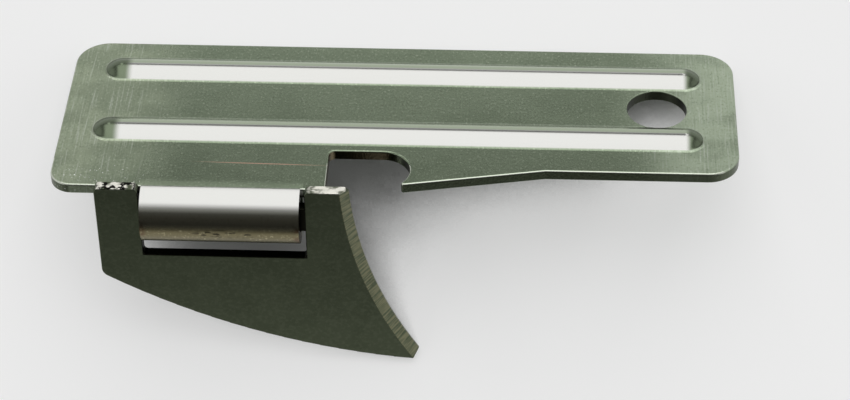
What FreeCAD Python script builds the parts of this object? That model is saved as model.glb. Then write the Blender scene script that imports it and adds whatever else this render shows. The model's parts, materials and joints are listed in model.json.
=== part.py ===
"""Folding can opener of the pocket kind: a stamped steel handle and the blade that turns in its knuckle.

Both pieces are drawn in the handle's own directions: X along the handle from its hinge end, Y across
it from the front edge to the back edge, Z up, with the handle's top face at zero. The blade is drawn
open, square to the handle. At the end the pair is stood on its point and its back edge.
"""
import FreeCAD, Part
import os
import Sketcher

SIZES = {
    # Handle, a pressed strip of sheet steel
    "length": 51.0,
    "width": 17.6,
    "sheet": 0.81,
    "back_corner": 2.5,
    "ring_corner": 2.4,
    "hinge_corner": 1.7,
    "die_roll": 0.14,
    "burr_break": 0.06,
    # Front edge: it steps back by a slanted run beyond the rim notch
    "waist_start": 36.6,
    "waist_depth": 2.72,
    # Rim notch, which hooks under the seam of the can
    "notch_start": 20.5,
    "notch_flat": 4.0,
    "notch_depth": 4.58,
    "notch_round": 2.08,
    "notch_mouth": 5.0,
    "notch_corner": 0.5,
    "hook_round": 0.2,
    # Ring hole
    "hole_radius": 2.26,
    "hole_from_end": 6.0,
    "hole_offset": -0.08,
    "hole_break": 0.06,
    # Two stiffening beads, pressed up out of the sheet
    "bead_start": 2.45,
    "bead_end_margin": 2.6,
    "bead_width": 2.72,
    "bead_height": 0.56,
    "bead_from_back": 3.39,
    "notch_land": 0.81,
    "bead_foot_round": 0.5,
    # Knuckle, the tongue of sheet rolled round the hinge bar
    "knuckle_start": 6.92,
    "knuckle_length": 11.73,
    "knuckle_bore": 1.46,
    "knuckle_turn": 302.0,
    # Blade, a flat stamping with two ears joined by the hinge bar
    "blade_sheet": 0.8,
    "stop_gap": 0.05,
    "side_gap": 0.15,
    "end_float": 0.2,
    "bore_gap": 0.1,
    "ear_width": 3.25,
    "ear_rise": 0.36,
    "ear_round": 0.45,
    "ear_clip": 0.3,
    "window_gap": 1.41,
    "window_round": 0.3,
    "heel_depth": 7.9,
    "heel_round": 0.8,
    "belly_radius": 52.0,
    "blade_depth": 15.95,
    "blade_reach": 23.73,
    "point_blunt": 0.45,
    "point_lift": 0.6,
    "edge_radius": 34.0,
    "grind_width": 0.62,
    "edge_land": 0.16,
    "blade_break": 0.07,
}

# How far a piece that is fused on is drawn into the sheet, as a share of its thickness
ROOT = "0.5 * Sizes.sheet"

# What fits together takes its place from the sizes above
KNUCKLE_RADIUS = "(Sizes.knuckle_bore + Sizes.sheet)"
AXIS_Z = "-" + KNUCKLE_RADIUS
KNUCKLE_END = "(Sizes.knuckle_start + Sizes.knuckle_length)"
EAR_GAP_START = "(Sizes.knuckle_start - Sizes.side_gap)"
EAR_GAP_END = "(" + KNUCKLE_END + " + Sizes.side_gap + Sizes.end_float)"
BLADE_START = "(" + EAR_GAP_START + " - Sizes.ear_width)"
BLADE_END = "(" + EAR_GAP_END + " + Sizes.ear_width)"
BAR_FACE = "(Sizes.stop_gap + Sizes.blade_sheet)"
BAR_HALF_HEIGHT = "sqrt((Sizes.knuckle_bore - Sizes.bore_gap)^2 - " + BAR_FACE + "^2)"
WINDOW_DEPTH = "(2 * " + KNUCKLE_RADIUS + " + Sizes.window_gap)"
HOOK_SETBACK = ("(Sizes.notch_depth - Sizes.notch_round"
                " - sqrt(Sizes.notch_round^2 - (Sizes.notch_mouth - Sizes.notch_flat)^2))")
BEAD_Y = "(Sizes.width - Sizes.bead_from_back)"
FRONT_BEAD_Y = "(Sizes.notch_depth + Sizes.notch_land + 0.5 * Sizes.bead_width)"
BEAD_PITCH = "(" + BEAD_Y + " - " + FRONT_BEAD_Y + ")"
HOLE_Y = "(0.5 * (" + BEAD_Y + " + " + FRONT_BEAD_Y + ") + Sizes.hole_offset)"
BEAD_RADIUS = "((0.25 * Sizes.bead_width^2 + Sizes.bead_height^2) / (2 * Sizes.bead_height))"
HOLLOW_RADIUS = "(" + BEAD_RADIUS + " - Sizes.sheet)"
HOLLOW_HALF = "sqrt(" + HOLLOW_RADIUS + "^2 - (" + HOLLOW_RADIUS + " - Sizes.bead_height)^2)"
BEAD_STARTS = "(Sizes.bead_start + 0.5 * Sizes.bead_width)"
BEAD_ENDS = "(Sizes.length - Sizes.bead_end_margin - 0.5 * Sizes.bead_width)"
REST_ANGLE = "atan((Sizes.blade_depth - Sizes.sheet) / (Sizes.width + Sizes.stop_gap))"

doc = FreeCAD.newDocument("CanOpener")


def make_sheet():
    """Put the driving sizes into a spreadsheet, one named cell each."""
    sheet = doc.addObject("Spreadsheet::Sheet", "Sizes")
    for row, (name, value) in enumerate(SIZES.items(), start=1):
        sheet.set(f"A{row}", name)
        sheet.set(f"B{row}", str(value))
        sheet.setAlias(f"B{row}", name)
    doc.recompute()
    return sheet


SHEET = make_sheet()


def number(expression):
    """The present value of an expression on the sheet, in mm or degrees."""
    value = SHEET.evalExpression(expression)
    return value.Value if hasattr(value, "Value") else float(value)


def make_body(label):
    body = doc.addObject("PartDesign::Body", label)
    body.Label = label
    return body


def origin_feature(body, role):
    return next(item for item in body.Origin.OriginFeatures if item.Role == role)


def make_sketch(body, name, plane, along=None, lift=None):
    """An empty sketch on one of the body's planes, shifted along its own X or off the plane."""
    sketch = body.newObject("Sketcher::SketchObject", name)
    sketch.AttachmentSupport = [(origin_feature(body, plane), "")]
    sketch.MapMode = "FlatFace"
    if along:
        sketch.setExpression("AttachmentOffset.Base.x", along)
    if lift:
        sketch.setExpression("AttachmentOffset.Base.z", lift)
    doc.recompute()
    return sketch


def pin_point(sketch, element, point, x, y):
    """Hold a point of the sketch at (x, y) from the sketch's origin."""
    for kind, expression in (("DistanceX", x), ("DistanceY", y)):
        rule = Sketcher.Constraint(kind, -1, 1, element, point, number(expression))
        index = sketch.addConstraint(rule)
        sketch.setExpression(f"Constraints[{index}]", expression)


def arc_between(start, end, radius, swell):
    """The arc of under half a turn from start to end; it swells to the right of the way there."""
    chord = end - start
    across = FreeCAD.Vector(-chord.y, chord.x, 0).normalize() * swell
    reach = (radius ** 2 - 0.25 * chord.Length ** 2) ** 0.5
    centre = (start + end) * 0.5 + across * reach
    middle = centre - across * radius
    return Part.Arc(start, middle, end)


def draw_outline(sketch, corners):
    """Draw a closed outline. A corner is (x, y), or (x, y, radius, swell) where an arc follows it."""
    places = [FreeCAD.Vector(number(corner[0]), number(corner[1]), 0) for corner in corners]
    for index, corner in enumerate(corners):
        following = (index + 1) % len(corners)
        if len(corner) == 2:
            sketch.addGeometry(Part.LineSegment(places[index], places[following]))
            pin_point(sketch, index, 1, corner[0], corner[1])
        else:
            arc = arc_between(places[index], places[following], number(corner[2]), corner[3])
            sketch.addGeometry(arc)
            first = 1 if corner[3] > 0 else 2
            pin_point(sketch, index, first, corner[0], corner[1])
            rule = sketch.addConstraint(Sketcher.Constraint("Radius", index, number(corner[2])))
            sketch.setExpression(f"Constraints[{rule}]", corner[2])
    for index, corner in enumerate(corners):
        following = (index + 1) % len(corners)
        last = 1 if len(corner) > 2 and corner[3] < 0 else 2
        first = 2 if len(corners[following]) > 2 and corners[following][3] < 0 else 1
        sketch.addConstraint(Sketcher.Constraint("Coincident", index, last, following, first))
    doc.recompute()
    return sketch


def draw_circle(sketch, x, y, radius):
    centre = FreeCAD.Vector(number(x), number(y), 0)
    element = sketch.addGeometry(Part.Circle(centre, FreeCAD.Vector(0, 0, 1), number(radius)))
    pin_point(sketch, element, 3, x, y)
    rule = sketch.addConstraint(Sketcher.Constraint("Radius", element, number(radius)))
    sketch.setExpression(f"Constraints[{rule}]", radius)
    doc.recompute()
    return sketch


def add_feature(body, kind, name, sketch, **settings):
    """A PartDesign feature on a sketch; a setting given as text is an expression."""
    feature = body.newObject("PartDesign::" + kind, name)
    feature.Profile = sketch
    for setting, value in settings.items():
        if isinstance(value, str) and setting in ("Length", "Angle"):
            feature.setExpression(setting, value)
        else:
            setattr(feature, setting, value)
    body.Tip = feature
    doc.recompute()
    return feature


def dress(body, kind, name, chosen, size, **settings):
    """A fillet or chamfer on the edges of the body's present shape for which chosen() is true."""
    base = body.Tip
    names = [f"Edge{count}" for count, edge in enumerate(base.Shape.Edges, start=1) if chosen(edge)]
    if not names:
        raise ValueError(f"{name} found no edges")
    feature = body.newObject("PartDesign::" + kind, name)
    feature.Base = (base, names)
    for setting, value in settings.items():
        setattr(feature, setting, value)
    feature.setExpression("Radius" if kind == "Fillet" else "Size", size)
    body.Tip = feature
    doc.recompute()
    return feature


def upright_at(x, y):
    """Chooses the edge that runs along Z at (x, y)."""
    def chosen(edge):
        box = edge.BoundBox
        straight = box.XLength < 1e-4 and box.YLength < 1e-4
        return straight and abs(box.XMin - number(x)) < 1e-3 and abs(box.YMin - number(y)) < 1e-3
    return chosen


def through_at(x, z):
    """Chooses the edge that runs along Y at (x, z)."""
    def chosen(edge):
        box = edge.BoundBox
        straight = box.XLength < 1e-4 and box.ZLength < 1e-4
        return straight and abs(box.XMin - number(x)) < 1e-3 and abs(box.ZMin - number(z)) < 1e-3
    return chosen


def level_z(height, inside=None):
    """Chooses the edges that lie in the plane z = height."""
    def chosen(edge):
        box = edge.BoundBox
        flat = abs(box.ZMin - number(height)) < 1e-3 and abs(box.ZMax - number(height)) < 1e-3
        return flat and (inside is None or inside(edge))
    return chosen


def level_y(depth, inside=None):
    """Chooses the edges that lie in the plane y = depth."""
    def chosen(edge):
        box = edge.BoundBox
        flat = abs(box.YMin - number(depth)) < 1e-3 and abs(box.YMax - number(depth)) < 1e-3
        return flat and (inside is None or inside(edge))
    return chosen


def add_strip(body):
    """The flat strip with its rim notch and slanted waist, its corners and edges rounded."""
    hook_x = "Sizes.notch_start + Sizes.notch_mouth"
    outline = draw_outline(make_sketch(body, "StripOutline", "XY_Plane"), [
        ("0", "0"),
        ("Sizes.notch_start", "0"),
        ("Sizes.notch_start", "Sizes.notch_depth"),
        ("Sizes.notch_start + Sizes.notch_flat", "Sizes.notch_depth", "Sizes.notch_round", -1),
        (hook_x, HOOK_SETBACK),
        ("Sizes.waist_start", "Sizes.waist_depth"),
        ("Sizes.length", "Sizes.waist_depth"),
        ("Sizes.length", "Sizes.width"),
        ("0", "Sizes.width"),
    ])
    add_feature(body, "Pad", "Strip", outline, Length="Sizes.sheet", Reversed=True)
    dress(body, "Fillet", "HingeCorner", upright_at("0", "0"), "Sizes.hinge_corner")
    dress(body, "Fillet", "RingCorner", upright_at("Sizes.length", "Sizes.waist_depth"),
          "Sizes.ring_corner")
    backs = [upright_at("0", "Sizes.width"), upright_at("Sizes.length", "Sizes.width")]
    dress(body, "Fillet", "BackCorners", lambda edge: any(at(edge) for at in backs),
          "Sizes.back_corner")
    dress(body, "Fillet", "NotchCorner", upright_at("Sizes.notch_start", "Sizes.notch_depth"),
          "Sizes.notch_corner")
    dress(body, "Fillet", "HookPoint", upright_at(hook_x, HOOK_SETBACK), "Sizes.hook_round")
    dress(body, "Fillet", "TopEdges", level_z("0"), "Sizes.die_roll")
    dress(body, "Fillet", "UnderEdges", level_z("-Sizes.sheet"), "Sizes.burr_break")


def add_knuckle(body):
    """The rolled tongue: it leaves the front edge as the start of a tube whose mouth stays open."""
    tongue = draw_outline(make_sketch(body, "TongueSection", "YZ_Plane", lift="Sizes.knuckle_start"), [
        ("0", "-Sizes.sheet"),
        ("Sizes.sheet", "-Sizes.sheet"),
        ("Sizes.sheet", "0"),
        ("0", "0"),
    ])
    add_feature(body, "Pad", "Tongue", tongue, Length="Sizes.knuckle_length")
    ring = make_sketch(body, "RollSection", "YZ_Plane", lift="Sizes.knuckle_start")
    draw_circle(ring, "0", AXIS_Z, KNUCKLE_RADIUS)
    draw_circle(ring, "0", AXIS_Z, "Sizes.knuckle_bore")
    add_feature(body, "Pad", "Roll", ring, Length="Sizes.knuckle_length")
    mouth = draw_outline(make_sketch(body, "MouthSection", "YZ_Plane", lift="Sizes.knuckle_start"), [
        ("0", AXIS_Z),
        ("Sizes.knuckle_bore / tan((Sizes.knuckle_turn - 270) * 1deg)", "-Sizes.sheet"),
        ("0", "-Sizes.sheet"),
    ])
    add_feature(body, "Pocket", "Mouth", mouth, Length="Sizes.knuckle_length", Reversed=True)


def add_beads(body):
    """One bead: a ridge with domed ends and the matching hollow beneath, then the same again in front."""
    half = "0.5 * Sizes.bead_width"
    run = BEAD_ENDS + " - " + BEAD_STARTS
    low_left = BEAD_Y + " - " + half
    low_right = BEAD_Y + " + " + half
    ridge = draw_outline(make_sketch(body, "RidgeSection", "YZ_Plane", lift=BEAD_STARTS), [
        (low_left, "-" + ROOT),
        (low_right, "-" + ROOT),
        (low_right, "0", BEAD_RADIUS, 1),
        (low_left, "0"),
    ])
    parts = [add_feature(body, "Pad", "Ridge", ridge, Length=run)]
    for name, place in (("RidgeStart", BEAD_STARTS), ("RidgeEnd", BEAD_ENDS)):
        dome = draw_outline(make_sketch(body, name + "Section", "XZ_Plane", along=place,
                                        lift="-" + BEAD_Y), [
            ("0", "-" + ROOT),
            (half, "-" + ROOT),
            (half, "0", BEAD_RADIUS, 1),
            ("0", "Sizes.bead_height"),
        ])
        parts.append(add_feature(body, "Revolution", name, dome,
                                 ReferenceAxis=(dome, ["V_Axis"]), Angle="360"))
    under = "-(Sizes.sheet + " + ROOT + ")"
    hollow = draw_outline(make_sketch(body, "HollowSection", "YZ_Plane", lift=BEAD_STARTS), [
        (BEAD_Y + " - " + HOLLOW_HALF, under),
        (BEAD_Y + " + " + HOLLOW_HALF, under),
        (BEAD_Y + " + " + HOLLOW_HALF, "-Sizes.sheet", HOLLOW_RADIUS, 1),
        (BEAD_Y + " - " + HOLLOW_HALF, "-Sizes.sheet"),
    ])
    parts.append(add_feature(body, "Pocket", "Hollow", hollow, Length=run, Reversed=True))
    for name, place in (("HollowStart", BEAD_STARTS), ("HollowEnd", BEAD_ENDS)):
        dome = draw_outline(make_sketch(body, name + "Section", "XZ_Plane", along=place,
                                        lift="-" + BEAD_Y), [
            ("0", under),
            (HOLLOW_HALF, under),
            (HOLLOW_HALF, "-Sizes.sheet", HOLLOW_RADIUS, 1),
            ("0", "Sizes.bead_height - Sizes.sheet"),
        ])
        parts.append(add_feature(body, "Groove", name, dome,
                                 ReferenceAxis=(dome, ["V_Axis"]), Angle="360"))
    pattern = body.newObject("PartDesign::LinearPattern", "Beads")
    pattern.Originals = parts
    pattern.Direction = (origin_feature(body, "Y_Axis"), [""])
    pattern.Reversed = True
    pattern.setExpression("Length", BEAD_PITCH)
    pattern.Occurrences = 2
    body.Tip = pattern
    doc.recompute()


def foot_of_bead(edge):
    """True for an edge along the foot of a ridge."""
    box = edge.BoundBox
    half = number("0.5 * Sizes.bead_width")
    for centre in (number(BEAD_Y), number(FRONT_BEAD_Y)):
        if box.YMin > centre - half - 1e-3 and box.YMax < centre + half + 1e-3:
            return True
    return False


def wall_of_hole(edge):
    """True for an edge of the ring hole at or near the top face."""
    x = number("Sizes.length - Sizes.hole_from_end")
    y = number(HOLE_Y)
    radius = number("Sizes.hole_radius")
    if edge.Degenerated:
        return False
    middle = 0.5 * (edge.FirstParameter + edge.LastParameter)
    points = [vertex.Point for vertex in edge.Vertexes] + [edge.valueAt(middle)]
    high = all(point.z > -number(ROOT) for point in points)
    return high and all(abs(((point.x - x) ** 2 + (point.y - y) ** 2) ** 0.5 - radius) < 1e-3
                        for point in points)


def add_hole(body):
    """The ring hole, through the flat between the beads."""
    circle = draw_circle(make_sketch(body, "HoleSection", "XY_Plane"),
                         "Sizes.length - Sizes.hole_from_end", HOLE_Y, "Sizes.hole_radius")
    add_feature(body, "Pocket", "RingHole", circle, Type="ThroughAll", Midplane=True)
    dress(body, "Fillet", "HoleRim", wall_of_hole, "Sizes.hole_break")


def make_handle():
    body = make_body("handle")
    add_strip(body)
    add_knuckle(body)
    add_beads(body)
    dress(body, "Fillet", "BeadFeet", level_z("0", foot_of_bead), "Sizes.bead_foot_round")
    add_hole(body)
    return body


def cutting_edge(edge):
    """True for the long hollow arc of the cutting edge."""
    arc = isinstance(edge.Curve, Part.Circle)
    return arc and abs(edge.Curve.Radius - number("Sizes.edge_radius")) < 1


def add_blade_sheet(body):
    """The flat blank with its two ears and the bar that joins them."""
    bar_top = AXIS_Z + " + " + BAR_HALF_HEIGHT
    bar_foot = AXIS_Z + " - " + BAR_HALF_HEIGHT
    outline = make_sketch(body, "BladeOutline", "XZ_Plane", lift="Sizes.stop_gap")
    draw_outline(outline, [
        (BLADE_START, "Sizes.ear_rise"),
        (BLADE_START, "-Sizes.heel_depth", "Sizes.belly_radius", 1),
        (BLADE_START + " + Sizes.blade_reach - Sizes.point_blunt", "-Sizes.blade_depth"),
        (BLADE_START + " + Sizes.blade_reach", "Sizes.point_lift - Sizes.blade_depth",
         "Sizes.edge_radius", -1),
        (BLADE_END, "Sizes.ear_rise - Sizes.ear_clip"),
        (BLADE_END + " - Sizes.ear_clip", "Sizes.ear_rise"),
        (EAR_GAP_END, "Sizes.ear_rise"),
        (EAR_GAP_END, bar_top),
        (EAR_GAP_START, bar_top),
        (EAR_GAP_START, "Sizes.ear_rise"),
    ])
    add_feature(body, "Pad", "BladeSheet", outline, Length="Sizes.blade_sheet")
    window = make_sketch(body, "WindowOutline", "XZ_Plane", lift="Sizes.stop_gap")
    draw_outline(window, [
        (EAR_GAP_START, "-" + WINDOW_DEPTH),
        (EAR_GAP_END, "-" + WINDOW_DEPTH),
        (EAR_GAP_END, bar_foot),
        (EAR_GAP_START, bar_foot),
    ])
    add_feature(body, "Pocket", "Window", window, Length="Sizes.blade_sheet", Reversed=True)


def make_blade():
    """The blade: its blank, the ground edge, and its corners and arrises eased."""
    body = make_body("blade")
    add_blade_sheet(body)
    front = "-(Sizes.stop_gap + Sizes.blade_sheet)"
    grind = dress(body, "Chamfer", "GroundEdge", level_y(front, cutting_edge), "Sizes.grind_width",
                  ChamferType="Two distances")
    grind.setExpression("Size2", "Sizes.blade_sheet - Sizes.edge_land")
    doc.recompute()
    dress(body, "Fillet", "Heel", through_at(BLADE_START, "-Sizes.heel_depth"), "Sizes.heel_round")
    ears = [through_at(x, "Sizes.ear_rise") for x in (BLADE_START, EAR_GAP_START, EAR_GAP_END)]
    dress(body, "Fillet", "EarCorners", lambda edge: any(at(edge) for at in ears), "Sizes.ear_round")
    corners = [through_at(x, "-" + WINDOW_DEPTH) for x in (EAR_GAP_START, EAR_GAP_END)]
    dress(body, "Fillet", "WindowCorners", lambda edge: any(at(edge) for at in corners),
          "Sizes.window_round")
    dress(body, "Fillet", "FrontArris", level_y(front, lambda edge: not cutting_edge(edge)),
          "Sizes.blade_break")
    return body


def stand_up(bodies):
    """Tip the pair until its point and back edge are level, and centre it over the origin."""
    for body in bodies:
        body.Placement.Rotation = FreeCAD.Rotation(FreeCAD.Vector(1, 0, 0), -number(REST_ANGLE))
    doc.recompute()
    box = Part.makeCompound([body.Shape for body in bodies]).optimalBoundingBox(False, False)
    for body in bodies:
        body.Placement.Base = FreeCAD.Vector(-box.Center.x, -box.Center.y, -box.ZMin)
    doc.recompute()


def check_document(bodies):
    """Stop if a feature failed or a piece is not one sound solid."""
    for thing in doc.Objects:
        if "Invalid" in thing.State or "Error" in thing.State:
            raise ValueError(f"{thing.Name} failed: {thing.State}")
    for body in bodies:
        shape = body.Shape
        if shape.isNull() or not shape.isValid() or len(shape.Solids) != 1:
            raise ValueError(f"{body.Label} is not one sound solid")
        print(f"{body.Label}: {shape.Volume:.2f} mm3, {len(shape.Faces)} faces, box {shape.BoundBox}")


pieces = [make_handle(), make_blade()]
stand_up(pieces)
check_document(pieces)
hinge = pieces[0].Placement.multVec(FreeCAD.Vector(0, 0, number(AXIS_Z)))
print(f"rest angle {number(REST_ANGLE):.3f} deg, hinge axis at y {hinge.y:.4f}, z {hinge.z:.4f}")
os.makedirs("parts", exist_ok=True)
for piece in pieces:
    piece.Shape.exportStep(os.path.join("parts", piece.Label + ".step"))
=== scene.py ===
# %% [markdown]
# # A folding pocket can opener
# Two stampings of sheet steel: a ribbed handle, and a blade that turns in a knuckle rolled from
# the handle's own edge. It stands on the blade's point and the handle's back edge, opened square.
# Both shapes come finished from the CAD model, so nothing is modelled here. The lesson builds the
# camera, the studio, and then the two finishes, because on bare metal the finish and what the
# metal reflects are the whole look.

# %% Load the frame
import bpy
import json
import math
from mathutils import Matrix, Vector


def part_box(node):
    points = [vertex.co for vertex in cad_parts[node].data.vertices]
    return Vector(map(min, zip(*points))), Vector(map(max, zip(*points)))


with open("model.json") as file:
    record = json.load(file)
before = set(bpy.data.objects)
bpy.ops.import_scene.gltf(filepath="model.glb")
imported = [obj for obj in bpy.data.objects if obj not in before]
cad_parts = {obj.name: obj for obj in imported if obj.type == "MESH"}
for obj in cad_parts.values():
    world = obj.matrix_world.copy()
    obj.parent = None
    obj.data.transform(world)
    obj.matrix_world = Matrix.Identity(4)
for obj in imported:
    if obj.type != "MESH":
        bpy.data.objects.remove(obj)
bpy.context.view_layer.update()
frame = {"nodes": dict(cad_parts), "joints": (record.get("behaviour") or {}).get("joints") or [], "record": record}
handle = frame["nodes"]["handle"]
blade = frame["nodes"]["blade"]

# %% [markdown]
# ## Where things are
# The handle lies tilted, so its finish is laid out in the handle's own directions. Typed-in
# places would do, but they would go wrong if the tilt changed. Instead the ring hole's mount
# gives the tilt and the hinge joint gives a fixed line. From the two, any place on the opener can
# be named in plain millimetres: along the handle from the hinge end, across it from the front
# edge, and up from its top face.

# %% The handle's own directions
MM = 0.001
HINGE_BELOW = 2.27      # mm under the top face: the sheet's thickness and the knuckle's bore radius

hinge_point = Vector(frame["joints"][0]["pos_m"])
ring_hole = next(mount for mount in frame["record"]["mounts"] if mount["name"] == "ring_hole")
rest_angle = math.atan2(ring_hole["axis"][1], ring_hole["axis"][2])
handle_low, handle_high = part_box("handle")
length = (handle_high.x - handle_low.x) / MM


def handle_mm(point):
    """A place in the frame, in metres, as the handle's own millimetres."""
    from_hinge = Matrix.Rotation(rest_angle, 3, "X") @ (Vector(point) - hinge_point) / MM
    return from_hinge + Vector((hinge_point.x / MM + length / 2, 0, -HINGE_BELOW))


hole_place = handle_mm(ring_hole["pos_m"])
print(f"handle {length:.1f} mm long, tilted {math.degrees(rest_angle):.1f} degrees")
print(f"ring hole {hole_place.x:.2f} mm along and {hole_place.y:.2f} mm across")

# %% [markdown]
# ## Camera
# A long lens, almost straight down. The opener's tilt is what makes it look as if it were seen
# from the side. A camera can be aimed with a constraint, but its place and two of its directions,
# written out, also hold its small roll. The two are squared to each other before use.

# %% Camera
CAMERA_PLACE = Vector((9.617, -33.868, 202.380)) * MM
CAMERA_RIGHT = Vector((0.99906, 0.02732, -0.03357))
CAMERA_UP = Vector((-0.02134, 0.98570, 0.16718))
SENSOR_WIDTH = 36       # mm
LENS = 111.86           # mm
CLIP_START = 0.005      # m, close enough for so small a thing

camera_data = bpy.data.cameras.new("camera")
camera = bpy.data.objects.new("camera", camera_data)
bpy.context.scene.collection.objects.link(camera)
across = CAMERA_RIGHT.normalized()
upward = (CAMERA_UP - across * CAMERA_UP.dot(across)).normalized()
turn = Matrix((across, upward, across.cross(upward))).transposed()
camera.matrix_world = Matrix.Translation(CAMERA_PLACE) @ turn.to_4x4()
camera_data.sensor_width = SENSOR_WIDTH
camera_data.lens = LENS
camera_data.clip_start = CLIP_START
bpy.context.scene.camera = camera
print(f"camera {CAMERA_PLACE.length / MM:.0f} mm from the opener's foot")

# %% [markdown]
# ## Colours and nodes
# Colours are written as the hex values that a screen shows, because those are easy to read and to
# compare. A shader works in linear light, so one function turns them. Nodes can be made and
# linked line by line, but one more function, which adds a node with its settings and its links,
# keeps each node in one statement.

# %% Helpers
def linear(hex_colour, alpha=1.0):
    """A screen colour such as #8a8f88 as linear light."""
    parts = [int(hex_colour[i:i + 2], 16) / 255 for i in (1, 3, 5)]
    return [c / 12.92 if c <= 0.04045 else ((c + 0.055) / 1.055) ** 2.4 for c in parts] + [alpha]


def add_node(tree, kind, inputs=None, **settings):
    """Adds a node; inputs maps a socket to a value or to another node's output."""
    node = tree.nodes.new(kind)
    for name, value in settings.items():
        setattr(node, name, value)
    for socket, value in (inputs or {}).items():
        if isinstance(value, bpy.types.NodeSocket):
            tree.links.new(value, node.inputs[socket])
        else:
            node.inputs[socket].default_value = value
    return node


print("middle grey as linear light:", [round(c, 3) for c in linear("#808080")])

# %% [markdown]
# ## Floor
# A pale paper table. Paper is matt, so plain diffuse would do, but under a light that suits metal
# it comes out grey. So what the camera sees, directly or in the metal, is part diffuse, which
# takes the opener's shadow, and part glow, which lifts the paper to its pale colour. The glow is
# dimmed where the opener shuts out the sky, or the ring hole and the gap under the knuckle would
# look lit. Far from the opener the table falls into shade, because the flats of the handle mirror
# it there.

# %% Floor: shape
FLOOR_SIDE = 1.6        # m

floor_mesh = bpy.data.meshes.new("floor")
half = FLOOR_SIDE / 2
floor_mesh.from_pydata([(-half, -half, 0), (half, -half, 0), (half, half, 0), (-half, half, 0)],
                       [], [(0, 1, 2, 3)])
floor = bpy.data.objects.new("floor", floor_mesh)
bpy.context.scene.collection.objects.link(floor)
print("floor", FLOOR_SIDE, "m wide")

# %% Floor: paper
FLOOR_PALE = "#f6f6f6"
FLOOR_SHADE = "#9b9b9b"
FLOOR_GLOW = "#ffffff"
FLOOR_LIFT = 0.5        # share of the glow
SHADE_FROM = 0.060      # m from the middle
SHADE_TO = 0.160
SKY_REACH = 0.030       # m that the opener shades around it
SKY_SHUT = (0.30, 0.50)
GLOW_LEAST = 0.03

floor_material = bpy.data.materials.new("matt_paper_table")
floor_material.use_nodes = True
paper = floor_material.node_tree
paper.nodes.clear()
ground = add_node(paper, "ShaderNodeTexCoord").outputs["Object"]
away = add_node(paper, "ShaderNodeVectorMath", {0: ground}, operation="LENGTH").outputs["Value"]
shaded = add_node(paper, "ShaderNodeMapRange", {0: away, 1: SHADE_FROM, 2: SHADE_TO},
                  interpolation_type="SMOOTHSTEP").outputs[0]
paper_colour = add_node(paper, "ShaderNodeMix", {0: shaded, 6: linear(FLOOR_PALE),
                                                 7: linear(FLOOR_SHADE)},
                        data_type="RGBA").outputs[2]
paper_glow = add_node(paper, "ShaderNodeMix", {0: shaded, 6: linear(FLOOR_GLOW),
                                               7: linear(FLOOR_SHADE)},
                      data_type="RGBA").outputs[2]
matt = add_node(paper, "ShaderNodeBsdfDiffuse", {"Color": paper_colour})
open_sky = add_node(paper, "ShaderNodeAmbientOcclusion", {"Distance": SKY_REACH}, samples=16)
open_sky = add_node(paper, "ShaderNodeMapRange", {0: open_sky.outputs["AO"], 1: SKY_SHUT[0],
                                                  2: SKY_SHUT[1], 3: GLOW_LEAST, 4: 1.0},
                    interpolation_type="SMOOTHSTEP")
glow = add_node(paper, "ShaderNodeEmission", {"Color": paper_glow,
                                              "Strength": open_sky.outputs[0]})
ray = add_node(paper, "ShaderNodeLightPath").outputs
looked_at = add_node(paper, "ShaderNodeMath", {0: ray["Is Camera Ray"], 1: ray["Is Glossy Ray"]},
                     operation="MAXIMUM")
looked_at = add_node(paper, "ShaderNodeMath", {0: looked_at.outputs[0],
                                               1: ray["Is Transmission Ray"]},
                     operation="MAXIMUM")
lift = add_node(paper, "ShaderNodeMath", {0: looked_at.outputs[0], 1: FLOOR_LIFT},
                operation="MULTIPLY")
surface = add_node(paper, "ShaderNodeMixShader", {0: lift.outputs[0], 1: matt.outputs[0],
                                                  2: glow.outputs[0]})
add_node(paper, "ShaderNodeOutputMaterial", {"Surface": surface.outputs[0]})
floor_mesh.materials.append(floor_material)
print("paper pale out to", SHADE_FROM, "m and in shade from", SHADE_TO, "m")

# %% [markdown]
# ## Light
# One very large soft light that arches from just above the horizon behind the opener almost to
# straight overhead, with a dim room in front. Lamps could do this, but a ridge or a roll mirrors
# the whole arch, and lamps would show in it as separate patches, so the light is drawn on the
# world. A roll then shows a white band, a dark one and the pale table, while the flats lie along
# the soft edge between light and dark.
#
# The world's colour depends on the angle of a direction as it swings from the horizon behind (0
# degrees), over the top (90), to the horizon in front (180). The arch is only so wide. Past its
# sides comes a narrow dark gap, and then pale side walls, so that the steel isn't dark from
# there.

# %% Light
# Each level is (degrees of swing, brightness)
SWING = [(0, 0.28), (5, 0.28), (9, 1.8), (72, 1.8), (80, 1.25), (88, 0.72), (92, 0.45),
         (100, 0.29), (110, 0.09), (130, 0.055), (155, 0.035), (170, 0.08), (180, 0.24)]
HALF_TURN = 180
# Each level is (share of the way sideways, brightness): the dark gap, then the side walls
SIDES = [(0.42, 0.12), (0.57, 0.12), (0.66, 0.85), (1.0, 0.85)]
ARCH_EDGE = (0.42, 0.50)
ROOM_TINT = (0.95, 1.0, 0.91)
LAMP_LEVEL = 0.7        # brighter than this is lamp and white, dimmer is room and tinted

world = bpy.data.worlds.new("studio")
bpy.context.scene.world = world
world.use_nodes = True
sky = world.node_tree
sky.nodes.clear()
direction = add_node(sky, "ShaderNodeTexCoord").outputs["Generated"]
towards = add_node(sky, "ShaderNodeSeparateXYZ", {0: direction}).outputs
swing = add_node(sky, "ShaderNodeMath", {0: towards["Z"], 1: towards["Y"]}, operation="ARCTAN2")
share = add_node(sky, "ShaderNodeMath", {0: swing.outputs[0], 1: math.pi}, operation="DIVIDE")
sideways = add_node(sky, "ShaderNodeMath", {0: towards["X"]}, operation="ABSOLUTE")


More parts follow.
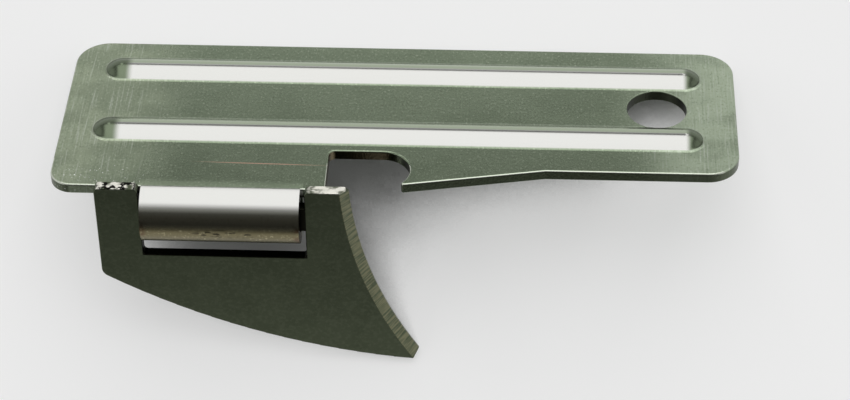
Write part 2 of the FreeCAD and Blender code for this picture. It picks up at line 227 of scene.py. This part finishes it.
def grey_stops(ramp, stops):
    """Fills a colour ramp with levels; dim ones take the room's tint, the lamp's stay white."""
    while len(ramp.elements) < len(stops):
        ramp.elements.new(0.5)
    for element, (position, level) in zip(ramp.elements, stops):
        element.position = position
        white = min(level / LAMP_LEVEL, 1.0)
        element.color = [level * (white + (1 - white) * tint) for tint in ROOM_TINT] + [1.0]


arch = add_node(sky, "ShaderNodeValToRGB", {0: share.outputs[0]})
grey_stops(arch.color_ramp, [(degrees / HALF_TURN, level) for degrees, level in SWING])
wings = add_node(sky, "ShaderNodeValToRGB", {0: sideways.outputs[0]})
grey_stops(wings.color_ramp, SIDES)
past = add_node(sky, "ShaderNodeMapRange", {0: sideways.outputs[0], 1: ARCH_EDGE[0],
                                            2: ARCH_EDGE[1]}, interpolation_type="SMOOTHSTEP")
studio = add_node(sky, "ShaderNodeMix", {0: past.outputs[0], 6: arch.outputs[0],
                                         7: wings.outputs[0]}, data_type="RGBA")
background = add_node(sky, "ShaderNodeBackground", {"Color": studio.outputs[2], "Strength": 1.0})
add_node(sky, "ShaderNodeOutputWorld", {"Surface": background.outputs[0]})
bpy.context.scene.view_settings.view_transform = "Standard"
print("arch of light with", len(SWING), "levels")

# %% [markdown]
# ## Where a finish lies
# A finish can follow a UV map or the object's own space. Bare stampings have no seams to unwrap
# along, so both finishes use object space, turned and scaled into the handle's own millimetres.
# It is taken from the mesh at rest, so the finish stays on the metal when the blade turns.
#
# Four patterns are enough for both pieces: noise for clouds and grain, egg-shaped patches for
# ends and scratches, masks for bands between two heights or places, and layers of colour on top
# of each other.

# %% Patterns: place, clouds and patches
def handle_place(tree):
    """The place on the opener in the handle's own millimetres."""
    rest = add_node(tree, "ShaderNodeTexCoord").outputs["Object"]
    return add_node(tree, "ShaderNodeMapping", {"Vector": rest, "Location": handle_mm((0, 0, 0)),
                                                "Rotation": (rest_angle, 0, 0),
                                                "Scale": (1 / MM, 1 / MM, 1 / MM)}).outputs[0]


def cloud(tree, place, size, seed, detail=2.0):
    """Noise whose blobs are about size millimetres along, across and up."""
    spread = add_node(tree, "ShaderNodeMapping", {"Vector": place, "Location": (seed, seed, seed),
                                                  "Scale": [1 / s for s in size]})
    return add_node(tree, "ShaderNodeTexNoise", {"Vector": spread.outputs[0], "Scale": 1.0,
                                                 "Detail": detail}).outputs[0]


def patch(tree, place, centre, size, angle=0.0, soft=0.5):
    """1 inside an egg shape, falling to 0 outside; a long thin one is a scratch."""
    inside = add_node(tree, "ShaderNodeMapping", {"Vector": place, "Location": centre,
                                                  "Rotation": (0, 0, math.radians(angle)),
                                                  "Scale": size}, vector_type="TEXTURE")
    far = add_node(tree, "ShaderNodeVectorMath", {0: inside.outputs[0]}, operation="LENGTH")
    return add_node(tree, "ShaderNodeMapRange", {0: far.outputs["Value"], 1: 1 + soft, 2: 1 - soft},
                    interpolation_type="SMOOTHSTEP").outputs[0]


print("the frame's origin in the handle's millimetres:",
      [round(c, 3) for c in handle_mm((0, 0, 0))])

# %% Patterns: masks and layers
def where(tree, *conditions):
    """1 where every condition holds, 0 where one fails. A condition is a mask, a share of one, or
    (value, start, stop), which goes smoothly from 0 at start to 1 at stop."""
    held = None
    for condition in conditions:
        if isinstance(condition, tuple):
            value, start, stop = condition
            condition = add_node(tree, "ShaderNodeMapRange", {0: value, 1: start, 2: stop},
                                 interpolation_type="SMOOTHSTEP").outputs[0]
        if held is None:
            held = condition
        else:
            held = add_node(tree, "ShaderNodeMath", {0: held, 1: condition},
                            operation="MULTIPLY").outputs[0]
    return held


def stained(tree, colour, layers):
    """Lays colours over each other; a layer is its colour and the conditions for where it lies."""
    for tint, *conditions in layers:
        colour = add_node(tree, "ShaderNodeMix", {0: where(tree, *conditions), 6: colour,
                                                  7: linear(tint)}, data_type="RGBA").outputs[2]
    return colour


print("four patterns ready: cloud, patch, where, stained")

# %% [markdown]
# ## Handle finish: where
# Nickel-plated steel strip, brushed across its width before it was stamped, and worn by a pocket.
# Plated steel is a metal, a faintly warm grey with a soft, clear reflection. The ribs and the
# rolled knuckle were burnished by the tool that formed them, so they are smoother than the flats.
# Each region could be painted by hand on an image. Masks from height and place do it without one,
# and they end exactly where the metal bends. All places are in the handle's millimetres, and each
# pair says where the mask starts and where it is full.

# %% Handle steel: ribs, roll and flats
RIB_RISE = (0.01, 0.08)         # up from the flats
ROLL_LEFT = (6.7, 6.8)          # along, the knuckle's two ends
ROLL_RIGHT = (18.9, 18.8)
ROLL_FRONT = (0.15, -0.05)      # across, where the sheet starts to roll
ROLL_LEAD = (1.0, 0.1)          # across, the flat just behind that

handle_steel = bpy.data.materials.new("brushed_nickel_plated_steel")
handle_steel.use_nodes = True
tree = handle_steel.node_tree
shader = tree.nodes["Principled BSDF"]
place = handle_place(tree)
along = add_node(tree, "ShaderNodeSeparateXYZ", {0: place}).outputs
raised = where(tree, (along["Z"], *RIB_RISE))
beside_roll = where(tree, (along["X"], *ROLL_LEFT), (along["X"], *ROLL_RIGHT))
rolled = where(tree, beside_roll, (along["Y"], *ROLL_FRONT))
roll_lead = where(tree, beside_roll, (along["Y"], *ROLL_LEAD))
burnished = add_node(tree, "ShaderNodeMath", {0: raised, 1: rolled}, operation="MAXIMUM").outputs[0]
flat = add_node(tree, "ShaderNodeMath", {0: 1.0, 1: burnished}, operation="SUBTRACT").outputs[0]
print("handle: ribs rise past", RIB_RISE[1], "mm, roll from", ROLL_LEFT[0], "to", ROLL_RIGHT[0])

# %% Handle steel: ends, slopes and wear
RIB_STARTS = (4.7, 4.0)         # along, the two domes that end each rib
RIB_STOPS = (47.0, 47.5)
BACK_RIDGE = (14.2, 14.4)       # across, the slope behind the back rib's ridge
FRONT_RIDGE = (6.75, 6.95)      # and the one behind the front rib's
FRONT_FOOT = (9.2, 9.0)         # up to the flat between the ribs
LEFT_END = ((0.0, 9.0, 0.0), (7.0, 16.0, 9.0))      # middle and half size
RIGHT_END = ((52.0, 8.0, 0.0), (7.5, 16.0, 9.0))
WORN_SIZE = (6.0, 3.5, 3.5)

left_end = patch(tree, place, *LEFT_END)
right_end = patch(tree, place, *RIGHT_END)
ends = add_node(tree, "ShaderNodeMath", {0: left_end, 1: right_end}, operation="MAXIMUM").outputs[0]
domes = add_node(tree, "ShaderNodeMath", {0: where(tree, (along["X"], *RIB_STARTS)),
                                          1: where(tree, (along["X"], *RIB_STOPS))},
                 operation="MAXIMUM").outputs[0]
# Painted shade: the domes at each rib's ends are painted dark, so the highlight starts later.
rib_end_shade = where(tree, raised, domes)
# Painted shade: the slope behind each rib's ridge is painted darker and greener than its near slope.
behind_ridge = add_node(tree, "ShaderNodeMath", {
    0: where(tree, (along["Y"], *BACK_RIDGE)),
    1: where(tree, (along["Y"], *FRONT_RIDGE), (along["Y"], *FRONT_FOOT))},
    operation="MAXIMUM").outputs[0]
far_slope_shade = where(tree, raised, behind_ridge)
worn_thin = where(tree, flat, (cloud(tree, place, WORN_SIZE, 21.0), 0.45, 0.62))
print("handle: brushed ends, domed rib ends, and clouds about", WORN_SIZE[0], "mm long")

# %% [markdown]
# ## Handle finish: brushing, grain and stains
# Brushing shows as fine lines across the width, strongest at the two ends. It is noise stretched
# along the brush's way. Anisotropic gloss is the other usual means, but it gives only a streaked
# highlight, and here each line shows. Under it lies a fine grain of pale and dark grains. Low on
# its front the roll is beige and darker: partly wear, and partly painted shade that stands in for
# the dark blade and shaded table it mirrors. It has pits in its middle and brown rims at its ends.

# %% Handle steel: brushing, grain and stains
BRUSH_WIDTH = 0.14      # mm; real lines are about 0.02, drawn this coarse so that they show
BRUSH_LENGTH = 4.0
GRAIN_WIDTH = 0.16      # mm; the real grain is about 0.03, drawn coarser so that it shows
GRAIN_LENGTH = 0.24
PIT_PLACE = ((13.1, -2.2, -2.6), (2.2, 0.9, 0.4))   # middle and half size
SPECK_PLACE = ((3.4, 0.9, 0.0), (3.4, 1.3, 2.0))
RIM_LEFT = (7.5, 7.0)           # along
RIM_RIGHT = (18.0, 18.6)

brushing = cloud(tree, place, (BRUSH_WIDTH, BRUSH_LENGTH, BRUSH_LENGTH), 3.0, detail=4.0)
grain = cloud(tree, place, (GRAIN_WIDTH, GRAIN_LENGTH, GRAIN_LENGTH), 11.0)
lines = where(tree, flat, (brushing, 0.52, 0.72))
dull_lines = where(tree, flat, (brushing, 0.46, 0.3))
salt = where(tree, (grain, 0.55, 0.75))
pepper = where(tree, (grain, 0.45, 0.25))
# Low on the roll's front: beige wear, and painted shade for the dark blade and table it mirrors.
roll_wear_and_shade = where(tree, rolled, (along["Z"], -0.5, -1.4))
low_front_wear_and_shade = where(tree, rolled, (along["Z"], -1.7, -2.3))
pits = where(tree, (cloud(tree, place, (0.5, 0.24, 0.24), 31.0, detail=4.0), 0.53, 0.60),
             patch(tree, place, *PIT_PLACE))
rims = add_node(tree, "ShaderNodeMath", {0: where(tree, (along["X"], *RIM_LEFT)),
                                         1: where(tree, (along["X"], *RIM_RIGHT))},
                operation="MAXIMUM").outputs[0]
roll_rims = where(tree, rolled, (along["Z"], -0.8, -1.6),
                  (cloud(tree, place, (0.5, 0.5, 0.5), 41.0), 0.4, 0.6), rims)
specks = where(tree, (cloud(tree, place, (0.16, 0.2, 0.2), 51.0), 0.67, 0.71), flat,
               patch(tree, place, *SPECK_PLACE, soft=0.6))
print("handle: brush lines", BRUSH_WIDTH, "mm wide, grain", GRAIN_WIDTH, "mm")

# %% [markdown]
# ## Handle finish: cut edges
# A press shears a sheet's edge, which leaves a rougher wall than its face. The walls are painted
# darker than the face, which is painted shade; the ring hole's wall is painted darker still and
# the notch's wall a dark brown, painted shade inside those openings. Along the front, a pale line
# on top of the wall is a painted highlight. The walls could be separate material slots, but a mask
# by depth below the top face needs no choice of faces and gives a soft border.

# %% Handle steel: cut edges
SHEET_MIDDLE = -0.4             # mm up from the top face
WALL_TOP = (-0.05, -0.12)
WALL_FOOT = (-0.80, -0.74)
RUBBED_TOP = (-0.004, -0.012)
RUBBED_FOOT = (-0.12, -0.09)
FRONT_REACH = (3.2, 3.0)        # across, past the waist's step
INSIDE_WALL = (-0.02, -0.1)
HOLE_REACH = 2.33               # mm, just over the ring hole's radius
NOTCH_PLACE = ((22.5, 2.4, SHEET_MIDDLE), (3.4, 3.4, 1.0))

# Painted shade: the cut walls are painted darker than the face, the ring hole's darkest.
edge_wall_shade = where(tree, (along["Z"], *WALL_TOP), (along["Z"], *WALL_FOOT),
                   (along["Y"], 0.0, 0.02), (along["Y"], 14.0, 13.0))
# Painted highlight: a pale line along the top of the front wall.
edge_highlight = where(tree, (along["Z"], *RUBBED_TOP), (along["Z"], *RUBBED_FOOT), flat,
                  (along["Y"], *FRONT_REACH))
hole_wall_shade = where(tree, (along["Z"], *INSIDE_WALL),
                  patch(tree, place, (hole_place.x, hole_place.y, SHEET_MIDDLE),
                        (HOLE_REACH, HOLE_REACH, 2.0), soft=0.02))
notch_wall_shade = where(tree, (along["Z"], *INSIDE_WALL), patch(tree, place, *NOTCH_PLACE, soft=0.1))
print("handle: walls cut through", -WALL_FOOT[0], "mm of sheet")

# %% [markdown]
# ## Handle finish: colour
# The base is clean nickel. Over it lie the layers, from the widest to the smallest: the flats have
# gone a duller, greener grey than the burnished ribs, stains of age lie on them, and the ends are
# paler, partly from rougher brushing and partly painted light. Painted shade darkens the far slope
# of each rib, the domes at the ribs' ends, the roll's low front, which is also worn, and the cut
# walls, and a painted highlight runs along the top of the front wall. The last layers are specks
# and one long reddish scratch. One mixed texture could hold them all, but layers can be changed
# one by one. Each layer is its colour, then the masks and the share it lies with.

# %% Handle steel: colours
HANDLE_COLOUR = linear("#b3b3b0")
SCRATCH = ((15.6, 2.9, 0.1), (4.0, 0.05, 0.7), -1.0)    # middle, half size, degrees

colour = stained(tree, HANDLE_COLOUR, [
    ("#7f8b76", flat),
    # painted shade on the far slope of each rib
    ("#a5b199", far_slope_shade, 0.9),
    # painted shade on the domes at the ribs' ends
    ("#5a6550", rib_end_shade, 0.95),
    # the two ends are painted paler: partly rougher brushing, and partly painted light
    ("#98a28b", flat, left_end),
    ("#a6b29c", flat, right_end),
    ("#6f7b67", worn_thin, 0.4),
    ("#d5d9d0", lines, ends, 0.35),
    ("#6d7864", dull_lines, 0.3),
    ("#dbe2d0", salt, flat, 0.24),
    ("#5e6853", pepper, flat, 0.45),
    # the roll's low front: wear, and painted shade
    ("#a89d80", roll_wear_and_shade, 0.6),
    ("#6b6148", roll_wear_and_shade, pepper, 0.4),
    ("#6f684b", low_front_wear_and_shade, 0.9),
    ("#c9c2a0", low_front_wear_and_shade, salt, 0.5),
    ("#1d1a12", pits, 0.9),
    ("#5d4030", roll_rims, 0.7),
    # painted shade on the cut walls, the notch and the ring hole
    ("#474d3d", edge_wall_shade, 0.85),
    # painted highlight along the top of the front wall
    ("#d4d8cc", edge_highlight, 0.8),
    ("#6d5f4a", notch_wall_shade, 0.7),
    ("#2b2e25", hole_wall_shade, 0.9),
    ("#ffffff", specks),
    ("#e2b9a4", patch(tree, place, *SCRATCH), 0.8),
])
tree.links.new(colour, shader.inputs["Base Color"])
shader.inputs["Metallic"].default_value = 1.0
print("handle: base colour", [round(c, 3) for c in HANDLE_COLOUR])

# %% [markdown]
# ## Handle finish: sheen and relief
# Burnished metal is smoother than brushed metal, and dirt, specks and rubbed places are rougher
# still, so each adds to the roughness. The lines and grains are far too shallow to model, so they
# are bump, almost none of it where the tool has burnished them away.

# %% Handle steel: sheen and relief
BURNISHED = 0.15
BRUSHED = 0.23
ENDS_MORE = 0.10
ROUGHER = ((specks, 0.3), (rib_end_shade, 0.10), (where(tree, roll_lead, flat), 0.16), (low_front_wear_and_shade, 0.12))
RELIEF = 0.012 * MM
BURNISHED_RELIEF = 0.04

sheen = add_node(tree, "ShaderNodeMapRange", {0: flat, 3: BURNISHED, 4: BRUSHED}).outputs[0]
for mask, extra in ((where(tree, ends, flat), ENDS_MORE), *ROUGHER):
    sheen = add_node(tree, "ShaderNodeMath", {0: mask, 1: extra, 2: sheen},
                     operation="MULTIPLY_ADD").outputs[0]
tree.links.new(sheen, shader.inputs["Roughness"])
strength = add_node(tree, "ShaderNodeMapRange", {0: flat, 3: BURNISHED_RELIEF, 4: 1.0}).outputs[0]
brush_relief = add_node(tree, "ShaderNodeBump", {"Height": brushing, "Strength": strength,
                                                 "Distance": RELIEF})
grain_relief = add_node(tree, "ShaderNodeBump", {"Height": grain, "Strength": strength,
                                                 "Distance": RELIEF,
                                                 "Normal": brush_relief.outputs[0]})
tree.links.new(grain_relief.outputs[0], shader.inputs["Normal"])
handle.data.materials.clear()
handle.data.materials.append(handle_steel)
print("handle finished in", handle_steel.name)

# %% [markdown]
# ## Blade finish: where
# The blade is a harder steel, hardened and left as it came from the barrel: a satin with faint
# clouds. Its base is painted a dark olive, far darker than the handle, which is painted shade that
# stands in for the dark room in front that the blade mirrors. The two ears are worn bright on top,
# where they rub the handle's edge, and painted paler still as a painted highlight. The left ear is
# chipped. The cutting edge has a narrow ground bevel with marks that run across it, and the
# punched window has a torn edge whose wall is painted black, which is painted shade under the
# knuckle. The marks follow a curve, so they could be bent along it with a UV map. Here the angle
# and the distance from the edge's own centre do the same.

# %% Blade steel: bevel
EDGE_CENTRE = (56.10, 2.64)     # of the ground arc, along and up, mm
EDGE_RADIUS = 34.0
BEVEL_WIDTH = 0.62
BEVEL_FADE = 0.03
GRIND_WIDTH = 0.16              # mm; a 120-grit wheel leaves marks of about 0.1

blade_steel = bpy.data.materials.new("satin_hardened_steel")
blade_steel.use_nodes = True
tree = blade_steel.node_tree
shader = tree.nodes["Principled BSDF"]
place = handle_place(tree)
along = add_node(tree, "ShaderNodeSeparateXYZ", {0: place}).outputs
out_x = add_node(tree, "ShaderNodeMath", {0: along["X"], 1: EDGE_CENTRE[0]}, operation="SUBTRACT")
out_z = add_node(tree, "ShaderNodeMath", {0: along["Z"], 1: EDGE_CENTRE[1]}, operation="SUBTRACT")
spoke = add_node(tree, "ShaderNodeCombineXYZ", {0: out_x.outputs[0], 1: out_z.outputs[0]})
from_centre = add_node(tree, "ShaderNodeVectorMath", {0: spoke.outputs[0]},
                       operation="LENGTH").outputs["Value"]
bevel_end = EDGE_RADIUS + BEVEL_WIDTH
bevel = where(tree, (from_centre, bevel_end + BEVEL_FADE, bevel_end - BEVEL_FADE))
angle = add_node(tree, "ShaderNodeMath", {0: out_z.outputs[0], 1: out_x.outputs[0]},
                 operation="ARCTAN2")
round_edge = add_node(tree, "ShaderNodeMath", {0: angle.outputs[0], 1: EDGE_RADIUS},
                      operation="MULTIPLY")
grind_place = add_node(tree, "ShaderNodeCombineXYZ", {0: round_edge.outputs[0], 1: from_centre})
grind = cloud(tree, grind_place.outputs[0], (GRIND_WIDTH, 1.5, 1.0), 7.0, detail=3.0)
print("blade: bevel out to", bevel_end, "mm from the edge's centre")

# %% Blade steel: ears and window
EAR_TOPS = (0.24, 0.32)         # up, mm
LEFT_EAR = (8.0, 7.5)           # along, mm
WINDOW_FOOT = (-6.00, -5.97)    # up
WINDOW_TOP = (0.1, -0.1)
WINDOW_LEFT = (6.70, 6.74)      # along
WINDOW_RIGHT = (19.08, 19.04)

ear_tops = where(tree, (along["Z"], *EAR_TOPS))
chips = where(tree, ear_tops, (along["X"], *LEFT_EAR),
              (cloud(tree, place, (0.5, 0.45, 0.45), 61.0, detail=3.0), 0.50, 0.55))
# The ear tops: worn bright, and painted paler still as a painted highlight.
worn_tops_and_highlight = where(tree, ear_tops, (cloud(tree, place, (0.7, 0.5, 0.5), 71.0), 0.35, 0.6))
# Painted shade: the window's wall is painted black, where it lies in shadow under the knuckle.
window = where(tree, (along["Z"], *WINDOW_FOOT), (along["Z"], *WINDOW_TOP),
               (along["X"], *WINDOW_LEFT), (along["X"], *WINDOW_RIGHT))
print("blade: ear tops above", EAR_TOPS[0], "mm, window", WINDOW_LEFT[0], "to", WINDOW_RIGHT[0])

# %% [markdown]
# ## Blade finish: colour
# Barrel-finished steel is even from afar and blotched up close, so two sizes of noise lie over the
# base, which is painted dark as painted shade. Then come the ear tops, worn and painted bright as a
# painted highlight, the broken chips, and the window's wall, painted black as painted shade. One
# size alone looks like fog or like sand.

# %% Blade steel: colours
# Painted shade: the base is painted darker than the handle's, for the dark room the blade mirrors.
BLADE_COLOUR = linear("#535a48")

clouds = where(tree, (cloud(tree, place, (2.2, 2.2, 2.2), 5.0, detail=4.0), 0.42, 0.62))
fine = where(tree, (cloud(tree, place, (0.25, 0.25, 0.25), 15.0), 0.45, 0.65))
colour = stained(tree, BLADE_COLOUR, [
    ("#484f3e", clouds, 0.4),
    ("#666d5a", fine, 0.3),
    ("#77775f", bevel, (grind, 0.38, 0.62)),
    # ear tops: wear, and a painted highlight
    ("#f4f2e8", worn_tops_and_highlight, 0.9),
    ("#0b0a07", chips),
    # painted shade on the window's wall
    ("#14120e", window, 0.95),
])
tree.links.new(colour, shader.inputs["Base Color"])
shader.inputs["Metallic"].default_value = 1.0
print("blade: base colour", [round(c, 3) for c in BLADE_COLOUR])

# %% [markdown]
# ## Blade finish: sheen and relief
# Satin is a fine, even roughness. The barrel leaves a faint peened relief and the wheel leaves
# deeper marks on the bevel only. Two bumps in a row keep each at its own depth, which one shared
# height could not.

# %% Blade steel: sheen and relief
SATIN = 0.30
TOPS_SHEEN = 0.42
PEEN_WIDTH = 0.2        # mm
PEEN_RELIEF = 0.02 * MM
PEEN_STRENGTH = 0.3
GRIND_RELIEF = 0.03 * MM
GRIND_STRENGTH = 0.5

tops_sheen = add_node(tree, "ShaderNodeMapRange", {0: ear_tops, 3: SATIN, 4: TOPS_SHEEN}).outputs[0]
tree.links.new(tops_sheen, shader.inputs["Roughness"])
peened = cloud(tree, place, (PEEN_WIDTH, PEEN_WIDTH, PEEN_WIDTH), 17.0, detail=3.0)
peened_relief = add_node(tree, "ShaderNodeBump", {"Height": peened, "Strength": PEEN_STRENGTH,
                                                  "Distance": PEEN_RELIEF})
grind_relief = add_node(tree, "ShaderNodeBump", {"Height": grind, "Distance": GRIND_RELIEF,
                                                 "Strength": where(tree, bevel, GRIND_STRENGTH),
                                                 "Normal": peened_relief.outputs[0]})
tree.links.new(grind_relief.outputs[0], shader.inputs["Normal"])
blade.data.materials.clear()
blade.data.materials.append(blade_steel)
print("blade finished in", blade_steel.name)
